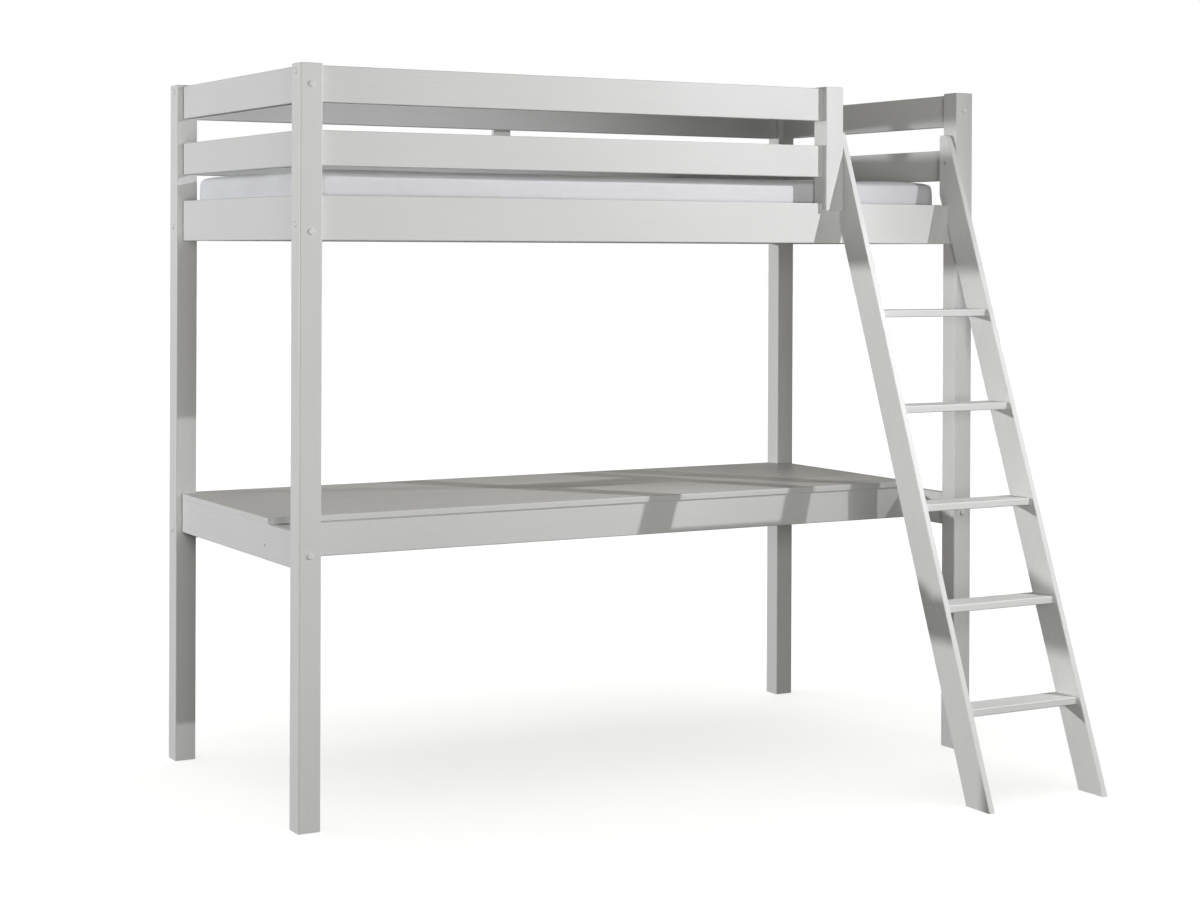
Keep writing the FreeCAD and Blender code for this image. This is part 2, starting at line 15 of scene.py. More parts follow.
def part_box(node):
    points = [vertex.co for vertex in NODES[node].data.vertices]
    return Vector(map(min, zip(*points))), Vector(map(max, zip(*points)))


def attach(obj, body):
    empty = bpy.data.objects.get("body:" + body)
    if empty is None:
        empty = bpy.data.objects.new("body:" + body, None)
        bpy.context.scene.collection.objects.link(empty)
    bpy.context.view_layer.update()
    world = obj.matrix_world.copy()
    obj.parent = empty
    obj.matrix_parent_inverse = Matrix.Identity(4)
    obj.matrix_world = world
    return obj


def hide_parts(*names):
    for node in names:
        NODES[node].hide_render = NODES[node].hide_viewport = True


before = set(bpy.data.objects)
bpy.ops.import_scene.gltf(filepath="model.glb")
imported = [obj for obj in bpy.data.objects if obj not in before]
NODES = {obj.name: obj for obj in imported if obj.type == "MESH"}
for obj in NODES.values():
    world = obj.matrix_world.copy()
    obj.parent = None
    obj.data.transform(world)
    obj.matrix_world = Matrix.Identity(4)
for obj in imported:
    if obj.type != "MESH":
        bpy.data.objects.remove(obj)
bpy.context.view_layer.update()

bl_info = {
    "name": "Loft Bed with Desk",
    "version": (1, 0, 0),
    "blender": (4, 5, 0),
    "location": "3D View > Sidebar > Loft Bed",
    "description": "Painted pine, bare slats, steel fasteners, a soft mattress and a studio",
    "category": "Object",
}

LADDER_LEAN = math.radians(20.85)
SLAT_CELL = 0.134  # width of the strip that holds one slat, with a grain of its own
FLOOR_REACH = 60.0  # from the middle of the studio's floor to its sides
GAP = 0.0002  # left between faces that would otherwise lie in one plane

MATTRESS_LOW, MATTRESS_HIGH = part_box("mattress")
MATTRESS_MIDDLE = (MATTRESS_LOW + MATTRESS_HIGH) / 2
MATTRESS_HALF = (MATTRESS_HIGH - MATTRESS_LOW) / 2
CORNER_RADIUS = 0.055  # of the mattress, seen from above
RIM_RADIUS = 0.016  # of the pad's upper and lower rims
TOP_RAISE = 0.005  # of the pad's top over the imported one, before its start inset
CROWN_LIMIT = 0.008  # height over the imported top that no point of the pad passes
SEAM_WIDTH, SEAM_DEPTH = 0.0045, 0.004  # of the groove along the seam
SEAM_REACH = 0.06  # depth of the band along the sides that the groove may pull in
COVER_THREADS, PIPING_THREADS = 1500.0, 2600.0  # closeness of the weave

BOARDS_ALONG_X = (
    "bed_rail_front", "bed_rail_rear", "guard_rail_front_upper", "guard_rail_front_middle",
    "guard_rail_rear_upper", "guard_rail_rear_middle", "desk_rail_front", "desk_rail_rear",
    "ladder_tread_1", "ladder_tread_2", "ladder_tread_3", "ladder_tread_4", "ladder_tread_5",
)
BOARDS_ALONG_Y = (
    "bed_rail_left", "bed_rail_right", "guard_rail_left_upper", "guard_rail_left_middle",
    "guard_rail_right_upper", "guard_rail_right_middle", "desk_end_left", "desk_end_right",
)
POSTS = ("post_front_left", "post_front_right", "post_rear_left", "post_rear_right",
         "guard_post_short", "guard_batten_rear")
STRINGERS = ("ladder_stringer_left", "ladder_stringer_right")
STEEL = ("frame_bolts", "barrel_nuts", "ladder_bolts", "ladder_bolt_inserts",
         "ladder_tread_screws", "batten_screws", "ledger_screws", "slat_screws",
         "short_post_screws", "desk_top_screws")


# ---- Settings -------------------------------------------------------------------------------
COLOUR = {"subtype": "COLOR", "size": 3, "min": 0.0, "max": 1.0}
SHARE = {"subtype": "FACTOR", "min": 0.0, "max": 1.0}
LENGTH = {"subtype": "DISTANCE", "unit": "LENGTH"}
PLACE = {"subtype": "TRANSLATION", "unit": "LENGTH", "size": 3}
ANGLE = {"subtype": "ANGLE", "unit": "ROTATION"}


class BedPaintSettings(bpy.types.PropertyGroup):
    paint: FloatVectorProperty(
        name="Paint", description="Colour of the satin paint on the pine",
        **COLOUR, default=(0.77, 0.775, 0.765))
    # Painted shade: the colour that rounded edges are darkened to, standing in for the dark line of
    # shade along each corner
    edge_shade: FloatVectorProperty(
        name="Edge Line", description="Where the paint thins over a rounded edge",
        **COLOUR, default=(0.60, 0.60, 0.585))
    shadow_grain: FloatVectorProperty(
        name="Grain Line", description="The late wood's lines under the paint",
        **COLOUR, default=(0.66, 0.66, 0.635))
    grain_show: FloatProperty(
        name="Grain Show", description="How far the grain's colour shows through the paint",
        **SHARE, default=0.22)
    roughness: FloatProperty(
        name="Roughness", description="Roughness of the satin paint",
        **SHARE, default=0.46)
    ring_spacing: FloatProperty(
        name="Ring Spacing", description="Distance between two growth rings",
        **LENGTH, min=0.001, max=0.03, default=0.0075)


class BedBareWoodSettings(bpy.types.PropertyGroup):
    early: FloatVectorProperty(
        name="Early Wood", description="Pale wood of a bare pine board",
        **COLOUR, default=(0.74, 0.56, 0.35))
    late: FloatVectorProperty(
        name="Late Wood", description="Darker lines of a bare pine board",
        **COLOUR, default=(0.50, 0.30, 0.14))
    beech: FloatVectorProperty(
        name="Beech", description="Colour of the beech dowels",
        **COLOUR, default=(0.60, 0.41, 0.25))


class BedMattressSettings(bpy.types.PropertyGroup):
    cover: FloatVectorProperty(
        name="Cover", description="Colour of the woven mattress cover",
        **COLOUR, default=(0.80, 0.80, 0.835))
    voxel: FloatProperty(
        name="Mesh Size", description="Edge length of the mesh that the padding swells in",
        **LENGTH, min=0.004, max=0.05, default=0.014)
    start_inset: FloatProperty(
        name="Start Inset", description="How much smaller the pad starts on each side",
        **LENGTH, min=0.0, max=0.02, default=0.004)
    swell: FloatProperty(
        name="Swell", description="The furthest that a point moves as the pad fills its cover",
        **LENGTH, min=0.0, max=0.03, default=0.0065)
    pressure: FloatProperty(
        name="Pressure", description="Air pressure of the filling while it swells",
        min=0.0, max=20.0, default=4.0)
    frames: IntProperty(
        name="Frames", description="Frames that the swelling runs for",
        min=2, max=60, default=20)
    seam_height: FloatProperty(
        name="Seam Height", description="Height of the cover's seam above the mattress's underside",
        **LENGTH, min=0.0, max=0.1, default=0.030)
    piping: FloatProperty(
        name="Piping", description="Radius of the cord sewn into the seam",
        **LENGTH, min=0.0005, max=0.01, default=0.0022)


class BedStudioSettings(bpy.types.PropertyGroup):
    camera_place: FloatVectorProperty(
        name="Camera", description="Where the camera stands",
        **PLACE, default=(-3.158, -5.456, 1.450))
    yaw: FloatProperty(
        name="Yaw", description="How far the camera looks to the right of the bed's depth",
        **ANGLE, default=0.518)
    pitch: FloatProperty(
        name="Pitch", description="How far the camera looks down",
        **ANGLE, default=0.005)
    roll: FloatProperty(
        name="Roll", description="How far the camera is turned about its axis",
        **ANGLE, default=0.004)
    lens: FloatProperty(
        name="Lens", description="Focal length in millimetres on a 36 mm sensor",
        min=10.0, max=200.0, default=68.571)
    shift: FloatVectorProperty(
        name="Shift", description="Camera shift, as a share of the frame's width",
        size=2, default=(-0.01515, -0.15792))
    key_place: FloatVectorProperty(
        name="Key Light", description="Where the small key lamp stands",
        **PLACE, default=(2.53, -2.39, 2.71))
    key_power: FloatProperty(
        name="Key Power", description="Power of the key lamp",
        unit="POWER", min=0.0, default=355.0)
    key_aim: FloatVectorProperty(
        name="Key Aim", description="Direction in which the key lamp's cone points",
        subtype="DIRECTION", size=3, default=(-0.908, -0.330, -0.259))
    key_cone: FloatProperty(
        name="Key Cone", description="Full angle of the key lamp's cone",
        **ANGLE, min=0.1, max=3.1, default=math.radians(157.0))
    key_blend: FloatProperty(
        name="Key Blend", description="Share of the cone over which the key fades out",
        **SHARE, default=0.375)
    side_place: FloatVectorProperty(
        name="Side Light", description="Where the small lamp behind the left end stands",
        **PLACE, default=(-9.0, 3.4, 1.79))
    side_power: FloatProperty(
        name="Side Power", description="Power of the small lamp behind the left end",
        unit="POWER", min=0.0, default=480.0)
    fill_place: FloatVectorProperty(
        name="Front Fill", description="Where the large soft lamp on the front left stands",
        **PLACE, default=(-1.6, -4.6, 1.4))
    fill_power: FloatProperty(
        name="Front Fill Power", description="Power of the large soft lamp on the front left",
        unit="POWER", min=0.0, default=88.0)
    sky: FloatProperty(
        name="Room Light", description="Strength of the even light from all round",
        min=0.0, max=5.0, default=0.06)
    wall: FloatProperty(
        name="Rear Wall", description="Strength of the bright wall behind the bed",
        min=0.0, max=5.0, default=0.60)
    floor_light: FloatProperty(
        name="Floor Light", description="Strength of the soft overhead light on the floor",
        min=0.0, max=10.0, default=1.4)


# ---- Small helpers --------------------------------------------------------------------------
def node(tree, kind, place=(0, 0), **values):
    """Adds a shader node, with its properties, or its inputs by name, set."""
    made = tree.nodes.new(kind)
    made.location = place
    for key, value in values.items():
        if hasattr(made, key):
            setattr(made, key, value)
        else:
            made.inputs[key.replace("_", " ").title()].default_value = value
    return made


def link(tree, source, target):
    tree.links.new(source, target)


def math_node(tree, operation, a, b=None, c=None, clamp=False):
    """A Math node whose inputs are sockets or numbers. Returns its output."""
    made = tree.nodes.new("ShaderNodeMath")
    made.operation = operation
    made.use_clamp = clamp
    for slot, value in zip(made.inputs, (a, b, c)):
        if value is None:
            continue
        if isinstance(value, (int, float)):
            slot.default_value = value
        else:
            link(tree, value, slot)
    return made.outputs[0]


def times(tree, a, b):
    return math_node(tree, "MULTIPLY", a, b)


def plus(tree, a, b):
    return math_node(tree, "ADD", a, b)


def vector_node(tree, operation, a, b=None):
    """A Vector Math node whose inputs are sockets or triples. Returns the node."""
    made = tree.nodes.new("ShaderNodeVectorMath")
    made.operation = operation
    for slot, value in zip(made.inputs, (a, b)):
        if value is None:
            continue
        if isinstance(value, (tuple, list)):
            slot.default_value = value
        else:
            link(tree, value, slot)
    return made


def mix_colour(tree, factor, a, b, blend="MIX"):
    """A colour Mix node. Returns its output."""
    made = tree.nodes.new("ShaderNodeMix")
    made.data_type = "RGBA"
    made.blend_type = blend
    for slot, value in ((made.inputs[0], factor), (made.inputs[6], a), (made.inputs[7], b)):
        if isinstance(value, (int, float)):
            slot.default_value = value
        elif isinstance(value, (tuple, list)):
            slot.default_value = (*value[:3], 1.0)
        else:
            link(tree, value, slot)
    return made.outputs[2]


def tinted(tree, colour, by):
    """The colour multiplied by a grey value or another colour."""
    return mix_colour(tree, 1.0, colour, by, "MULTIPLY")


def ramp(tree, value, low, high, start=0.0, end=1.0):
    """Maps a value from low..high to start..end, clamped. Returns the output."""
    made = tree.nodes.new("ShaderNodeMapRange")
    made.clamp = True
    for index, number in ((1, low), (2, high), (3, start), (4, end)):
        made.inputs[index].default_value = number
    link(tree, value, made.inputs[0])
    return made.outputs[0]


def noise_value(tree, point, scale, detail=2.0, roughness=0.5, distortion=0.0):
    made = tree.nodes.new("ShaderNodeTexNoise")
    made.inputs["Scale"].default_value = scale
    made.inputs["Detail"].default_value = detail
    made.inputs["Roughness"].default_value = roughness
    made.inputs["Distortion"].default_value = distortion
    link(tree, point, made.inputs["Vector"])
    return made.outputs["Fac"]


def stretched(tree, point, scale):
    """The point with each axis scaled by its own number."""
    return vector_node(tree, "MULTIPLY", point, scale).outputs[0]


def new_group(name, inputs, outputs):
    """An empty shader node group with named sockets. Returns it with its two ends."""
    group = bpy.data.node_groups.new(name, "ShaderNodeTree")
    for label, kind, default in inputs:
        made = group.interface.new_socket(name=label, in_out="INPUT", socket_type=kind)
        if default is not None:
            made.default_value = default
    for label, kind in outputs:
        group.interface.new_socket(name=label, in_out="OUTPUT", socket_type=kind)
    start = node(group, "NodeGroupInput", (-1200, 0))
    end = node(group, "NodeGroupOutput", (1200, 0))
    return group, start, end


def use_group(tree, name, **values):
    """Places a node group in a material. A value is a number, a colour or a socket."""
    made = tree.nodes.new("ShaderNodeGroup")
    made.node_tree = bpy.data.node_groups[name]
    for key, value in values.items():
        slot = made.inputs[key.replace("_", " ")]
        if isinstance(value, bpy.types.NodeSocket):
            link(tree, value, slot)
        elif isinstance(value, (tuple, list)) and slot.type == "RGBA":
            slot.default_value = (*value[:3], 1.0)
        else:
            slot.default_value = value
    return made


def new_material(name):
    """A material with one Principled shader. Returns it with its tree and shader."""
    made = bpy.data.materials.new(name)
    made.use_nodes = True
    tree = made.node_tree
    tree.nodes.clear()
    shader = node(tree, "ShaderNodeBsdfPrincipled", (600, 0))
    end = node(tree, "ShaderNodeOutputMaterial", (900, 0))
    link(tree, shader.outputs[0], end.inputs["Surface"])
    return made, tree, shader


def bumped(tree, shader, height, distance, strength=1.0, under=None):
    """Feeds a height to the shader's normal through a Bump node."""
    made = tree.nodes.new("ShaderNodeBump")
    made.inputs["Distance"].default_value = distance
    made.inputs["Strength"].default_value = strength
    link(tree, height, made.inputs["Height"])
    if under is not None:
        link(tree, under, made.inputs["Normal"])
    link(tree, made.outputs[0], shader.inputs["Normal"])
    return made.outputs[0]


def board_point(tree, turn=(0.0, 0.0, 0.0)):
    """The place on the bed, turned so that X runs along the board's grain."""
    place = node(tree, "ShaderNodeTexCoord", (-1400, 0))
    turned = node(tree, "ShaderNodeMapping", (-1200, 0))
    turned.vector_type = "POINT"
    turned.inputs["Rotation"].default_value = turn
    link(tree, place.outputs["Object"], turned.inputs["Vector"])
    return turned.outputs[0]


def dress(material, *names):
    """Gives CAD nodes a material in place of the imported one."""
    for name in names:
        slots = NODES[name].data.materials
        slots.clear()
        slots.append(material)


# ---- Shared effects -------------------------------------------------------------------------
def build_growth_rings():
    """Growth rings of a sawn board: late-wood lines, early-wood streaks and a height."""
    group, start, end = new_group("Growth Rings", [
        ("Point", "NodeSocketVector", None),
        ("Board", "NodeSocketFloat", 0.0),
        ("Spacing", "NodeSocketFloat", 0.0075),
        ("Waver", "NodeSocketFloat", 0.02),
    ], [
        ("Lines", "NodeSocketFloat"),
        ("Streaks", "NodeSocketFloat"),
        ("Height", "NodeSocketFloat"),
    ])
    point, board, spacing, waver = (start.outputs[i] for i in range(4))
    seed = times(group, board, 7.31)
    offset = node(group, "ShaderNodeCombineXYZ")
    link(group, seed, offset.inputs[0])
    link(group, times(group, board, 3.7), offset.inputs[1])
    moved = vector_node(group, "ADD", point, offset.outputs[0]).outputs[0]
    slow = noise_value(group, stretched(group, moved, (1.1, 7.0, 7.0)), 1.0, 2.0, 0.5)
    parts = node(group, "ShaderNodeSeparateXYZ")
    link(group, point, parts.inputs[0])
    bend = times(group, math_node(group, "SUBTRACT", slow, 0.5), waver)
    side = times(group, math_node(group, "SINE", seed), 0.05)
    across = plus(group, plus(group, parts.outputs[1], side), times(group, bend, 4.0))
    deep = plus(group, parts.outputs[2], times(group, bend, 6.0))
    squares = plus(group, times(group, across, across), times(group, deep, deep))
    radius = math_node(group, "SQRT", squares)
    turns = math_node(group, "DIVIDE", radius, spacing)
    ring = math_node(group, "FRACT", turns)
    line = math_node(group, "POWER", ring, 3.5)
    fade = ramp(group, ring, 0.93, 1.0, 1.0, 0.0)
    line = times(group, line, fade)
    uneven = noise_value(group, stretched(group, moved, (2.5, 40.0, 40.0)), 1.0, 2.0)
    line = times(group, line, ramp(group, uneven, 0.3, 0.65, 0.25, 1.0))
    streak = noise_value(group, stretched(group, moved, (5.0, 520.0, 520.0)), 1.0, 3.0, 0.6)
    pores = noise_value(group, stretched(group, moved, (28.0, 1500.0, 1500.0)), 1.0, 1.0)
    fine = times(group, plus(group, streak, pores), 0.28)
    height = plus(group, times(group, line, 0.6), fine)
    link(group, line, end.inputs[0])
    link(group, streak, end.inputs[1])
    link(group, height, end.inputs[2])


def build_edge_wear_and_shade():
    """Mask, 1 along rounded edges in broken patches: painted edge shade on painted pine, wear
    elsewhere.
    """
    group, start, end = new_group("Edge Wear And Shade", [
        ("Point", "NodeSocketVector", None),
        ("Width", "NodeSocketFloat", 0.003),
        ("Breakup", "NodeSocketFloat", 0.5),
    ], [("Edge", "NodeSocketFloat")])
    point, width, breakup = (start.outputs[i] for i in range(3))
    bevel = node(group, "ShaderNodeBevel", samples=4)
    link(group, width, bevel.inputs["Radius"])
    surface = node(group, "ShaderNodeNewGeometry")
    alike = vector_node(group, "DOT_PRODUCT", bevel.outputs[0], surface.outputs["Normal"])
    edge = ramp(group, alike.outputs["Value"], 0.75, 0.99, 1.0, 0.0)
    patches = noise_value(group, point, 38.0, 3.0, 0.6)
    broken = ramp(group, patches, 0.38, 0.62, 0.0, 1.0)
    keep = math_node(group, "MULTIPLY_ADD", math_node(group, "SUBTRACT", broken, 1.0), breakup, 1.0)
    link(group, math_node(group, "MULTIPLY", edge, keep, clamp=True), end.inputs[0])


def build_handling_marks():
    """Faint clouds, dust specks and rubbed patches over a finish."""
    group, start, end = new_group("Handling Marks", [
        ("Point", "NodeSocketVector", None),
        ("Cloud Size", "NodeSocketFloat", 2.2),
    ], [
        ("Clouds", "NodeSocketFloat"),
        ("Specks", "NodeSocketFloat"),
        ("Rubbed", "NodeSocketFloat"),
    ])
    point, size = start.outputs[0], start.outputs[1]
    clouds = node(group, "ShaderNodeTexNoise", Detail=4.0)
    link(group, point, clouds.inputs["Vector"])
    link(group, size, clouds.inputs["Scale"])
    dots = node(group, "ShaderNodeTexVoronoi", Scale=160.0)
    link(group, point, dots.inputs["Vector"])
    rare = noise_value(group, point, 11.0, 2.0)
    round_dots = ramp(group, dots.outputs["Distance"], 0.05, 0.12, 1.0, 0.0)
    specks = times(group, round_dots, ramp(group, rare, 0.55, 0.7))
    rubbed = noise_value(group, stretched(group, point, (3.0, 14.0, 14.0)), 1.0, 5.0, 0.62)
    link(group, clouds.outputs["Fac"], end.inputs[0])
    link(group, specks, end.inputs[1])
    link(group, rubbed, end.inputs[2])


def build_cloth_weave():
    """A plain weave of two thread directions, on all faces: a height and a thread mask."""
    group, start, end = new_group("Cloth Weave", [
        ("Point", "NodeSocketVector", None),
        ("Threads", "NodeSocketFloat", 900.0),
        ("Slub", "NodeSocketFloat", 0.35),
    ], [("Height", "NodeSocketFloat"), ("Thread", "NodeSocketFloat")])
    point, threads, slub = (start.outputs[i] for i in range(3))
    wander = node(group, "ShaderNodeTexNoise", Scale=14.0)
    link(group, point, wander.inputs["Vector"])
    scaled = vector_node(group, "SCALE", point)
    link(group, threads, scaled.inputs["Scale"])
    drift = vector_node(group, "SCALE", wander.outputs["Color"])
    drift.inputs["Scale"].default_value = 2.2
    warped = vector_node(group, "ADD", scaled.outputs[0], drift.outputs[0])
    parts = node(group, "ShaderNodeSeparateXYZ")
    link(group, warped.outputs[0], parts.inputs[0])
    waves = [math_node(group, "SINE", parts.outputs[i]) for i in range(3)]
    crossed = times(group, waves[0], waves[1])
    upright = times(group, waves[2], plus(group, waves[0], waves[1]))
    weave = plus(group, crossed, times(group, upright, 0.5))
    thick = noise_value(group, stretched(group, point, (60.0, 900.0, 900.0)), 1.0, 2.0)
    slubs = times(group, thick, slub)
    link(group, math_node(group, "MULTIPLY_ADD", weave, 0.35, slubs), end.inputs[0])
    link(group, ramp(group, weave, -1.0, 1.0), end.inputs[1])


# ---- Materials ------------------------------------------------------------------------------
def painted_pine(name, turn, settings, smooth=False):
    """Satin paint over pine: faint rings, brush streaks, painted shade on rounded edges, handling
    marks.
    """
    material, tree, shader = new_material(name)
    point = board_point(tree, turn)
    board = node(tree, "ShaderNodeObjectInfo", (-1400, -300)).outputs["Random"]
    rings = use_group(tree, "Growth Rings", Point=point, Board=board,
                      Spacing=settings.ring_spacing * (2.0 if smooth else 1.0), Waver=0.010)
    edge = use_group(tree, "Edge Wear And Shade", Point=point, Width=0.0035, Breakup=0.55)
    marks = use_group(tree, "Handling Marks", Point=point, Cloud_Size=2.2)
    lines, streaks = rings.outputs["Lines"], rings.outputs["Streaks"]
    show = settings.grain_show * (0.55 if smooth else 1.0)
    veil = times(tree, lines, show)
    colour = mix_colour(tree, veil, tuple(settings.paint), tuple(settings.shadow_grain))
    brush = ramp(tree, streaks, 0.25, 0.75, 0.972, 1.018)
    colour = tinted(tree, colour, brush)
    tone = ramp(tree, marks.outputs["Clouds"], 0.3, 0.7, 0.975, 1.015)
    colour = tinted(tree, colour, tone)
    lot = ramp(tree, board, 0.0, 1.0, 0.982, 1.012)
    colour = tinted(tree, colour, lot)
    # Painted shade: rounded edges are darkened towards the edge shade colour, for the dark line of
    # shade along each corner
    painted_edge_shade = times(tree, edge.outputs["Edge"], 0.5)
    colour = mix_colour(tree, painted_edge_shade, colour, tuple(settings.edge_shade))
    specks = times(tree, marks.outputs["Specks"], 0.10)
    colour = mix_colour(tree, specks, colour, (0.50, 0.48, 0.43))
    link(tree, colour, shader.inputs["Base Color"])
    base = settings.roughness - (0.05 if smooth else 0.0)
    rough = ramp(tree, marks.outputs["Rubbed"], 0.25, 0.75, base - 0.07, base + 0.09)
    rough = math_node(tree, "MULTIPLY_ADD", edge.outputs["Edge"], -0.06, rough)
    rough = math_node(tree, "MULTIPLY_ADD", lines, 0.07, rough)
    link(tree, rough, shader.inputs["Roughness"])
    shader.inputs["Specular IOR Level"].default_value = 0.42
    shader.inputs["Coat Roughness"].default_value = 0.35
    shader.inputs["Coat Weight"].default_value = 0.08
    orange = noise_value(tree, point, 420.0, 2.0)
    height = math_node(tree, "MULTIPLY_ADD", orange, 0.22, rings.outputs["Height"])
    bumped(tree, shader, height, 0.00012 if smooth else 0.00020)
    return material


def bare_pine(name, turn, settings, cell=None):
    """Planed, unpainted pine with rings, streaks, resin tone and small knots."""
    material, tree, shader = new_material(name)
    point = board_point(tree, turn)
    board = node(tree, "ShaderNodeObjectInfo").outputs["Random"]
    if cell is not None:
        parts = node(tree, "ShaderNodeSeparateXYZ")
        link(tree, point, parts.inputs[0])
        step = math_node(tree, "FLOOR", math_node(tree, "DIVIDE", parts.outputs[1], cell))
        dice = node(tree, "ShaderNodeTexWhiteNoise", noise_dimensions="1D")
        link(tree, step, dice.inputs["W"])
        board = dice.outputs["Value"]
    rings = use_group(tree, "Growth Rings", Point=point, Board=board, Spacing=0.0058, Waver=0.03)
    edge = use_group(tree, "Edge Wear And Shade", Point=point, Width=0.002, Breakup=0.8)
    marks = use_group(tree, "Handling Marks", Point=point, Cloud_Size=3.5)
    colour = mix_colour(tree, times(tree, rings.outputs["Lines"], 0.85),
                        tuple(settings.early), tuple(settings.late))
    streak = ramp(tree, rings.outputs["Streaks"], 0.25, 0.75, 0.88, 1.08)
    colour = tinted(tree, colour, streak)
    resin = ramp(tree, marks.outputs["Clouds"], 0.35, 0.7, 0.0, 0.35)
    colour = mix_colour(tree, resin, colour, (0.66, 0.42, 0.20))
    lot = ramp(tree, board, 0.0, 1.0, 0.90, 1.06)
    colour = tinted(tree, colour, lot)
    knots = node(tree, "ShaderNodeTexVoronoi", Scale=1.0)
    link(tree, stretched(tree, point, (3.2, 9.0, 9.0)), knots.inputs["Vector"])
    knot = ramp(tree, knots.outputs["Distance"], 0.05, 0.11, 0.8, 0.0)
    colour = mix_colour(tree, knot, colour, (0.26, 0.12, 0.05))
    pale = times(tree, edge.outputs["Edge"], 0.3)
    colour = mix_colour(tree, pale, colour, (0.82, 0.68, 0.48))
    link(tree, colour, shader.inputs["Base Color"])
    rough = ramp(tree, marks.outputs["Rubbed"], 0.25, 0.75, 0.56, 0.74)
    link(tree, rough, shader.inputs["Roughness"])
    shader.inputs["Specular IOR Level"].default_value = 0.35
    bumped(tree, shader, rings.outputs["Height"], 0.0005)
    return material


def beech(settings):
    """Beech dowels: short dark flecks in a warm pale wood, bumped by the flecks."""
    material, tree, shader = new_material("Beech Dowel")
    point = board_point(tree)
    flecks = noise_value(tree, stretched(tree, point, (240.0, 240.0, 240.0)), 1.0, 3.0, 0.7)
    marks = use_group(tree, "Handling Marks", Point=point, Cloud_Size=40.0)
    colour = mix_colour(tree, ramp(tree, flecks, 0.55, 0.72, 0.0, 0.6),
                        tuple(settings.beech), (0.36, 0.21, 0.11))
    tone = ramp(tree, marks.outputs["Clouds"], 0.3, 0.7, 0.92, 1.06)
    link(tree, tinted(tree, colour, tone), shader.inputs["Base Color"])
    rough = ramp(tree, marks.outputs["Rubbed"], 0.3, 0.7, 0.5, 0.68)
    link(tree, rough, shader.inputs["Roughness"])
    bumped(tree, shader, flecks, 0.0002)
    return material


def zinc_steel():
    """Bright zinc plate: cloudy passivation, turned lines and rubbed edges."""
    material, tree, shader = new_material("Zinc Plated Steel")
    point = board_point(tree)
    edge = use_group(tree, "Edge Wear And Shade", Point=point, Width=0.0006, Breakup=0.3)
    marks = use_group(tree, "Handling Marks", Point=point, Cloud_Size=55.0)
    blotch = ramp(tree, marks.outputs["Clouds"], 0.3, 0.7)
    colour = mix_colour(tree, blotch, (0.60, 0.61, 0.62), (0.68, 0.66, 0.60))
    colour = mix_colour(tree, edge.outputs["Edge"], colour, (0.78, 0.78, 0.77))
    link(tree, colour, shader.inputs["Base Color"])
    shader.inputs["Metallic"].default_value = 1.0
    rough = ramp(tree, marks.outputs["Rubbed"], 0.25, 0.75, 0.26, 0.44)
    link(tree, rough, shader.inputs["Roughness"])
    turned = noise_value(tree, stretched(tree, point, (900.0, 900.0, 2600.0)), 1.0, 2.0)
    bumped(tree, shader, turned, 0.00006)
    return material


def white_plastic():
    """Moulded white plastic: fine texture, soft clouds, paler edges and patchy rubbed roughness."""
    material, tree, shader = new_material("Moulded White Plastic")
    point = board_point(tree)
    edge = use_group(tree, "Edge Wear And Shade", Point=point, Width=0.0012, Breakup=0.4)
    marks = use_group(tree, "Handling Marks", Point=point, Cloud_Size=60.0)
    tone = ramp(tree, marks.outputs["Clouds"], 0.3, 0.7)
    colour = mix_colour(tree, tone, (0.80, 0.80, 0.79), (0.85, 0.85, 0.84))
    colour = mix_colour(tree, times(tree, edge.outputs["Edge"], 0.5),
                        colour, (0.90, 0.90, 0.89))
    link(tree, colour, shader.inputs["Base Color"])
    rough = ramp(tree, marks.outputs["Rubbed"], 0.25, 0.75, 0.26, 0.38)
    link(tree, rough, shader.inputs["Roughness"])
    shader.inputs["Specular IOR Level"].default_value = 0.5
    spark = noise_value(tree, point, 1800.0, 2.0)
    bumped(tree, shader, spark, 0.00004)
    return material


def webbing_cloth():
    """Woven band: coarse ribs with a pale thread and slight soiling."""
    material, tree, shader = new_material("Woven Webbing")
    point = board_point(tree)
    weave = use_group(tree, "Cloth Weave", Point=point, Threads=2400.0, Slub=0.25)
    marks = use_group(tree, "Handling Marks", Point=point, Cloud_Size=9.0)
    colour = mix_colour(tree, weave.outputs["Thread"], (0.60, 0.58, 0.52), (0.80, 0.78, 0.72))
    soil = ramp(tree, marks.outputs["Clouds"], 0.5, 0.75, 0.0, 0.3)
    link(tree, mix_colour(tree, soil, colour, (0.55, 0.51, 0.42)), shader.inputs["Base Color"])
    rough = ramp(tree, weave.outputs["Thread"], 0.0, 1.0, 0.92, 0.76)
    link(tree, rough, shader.inputs["Roughness"])
    shader.inputs["Sheen Weight"].default_value = 0.25
    bumped(tree, shader, weave.outputs["Height"], 0.0006)
    return material


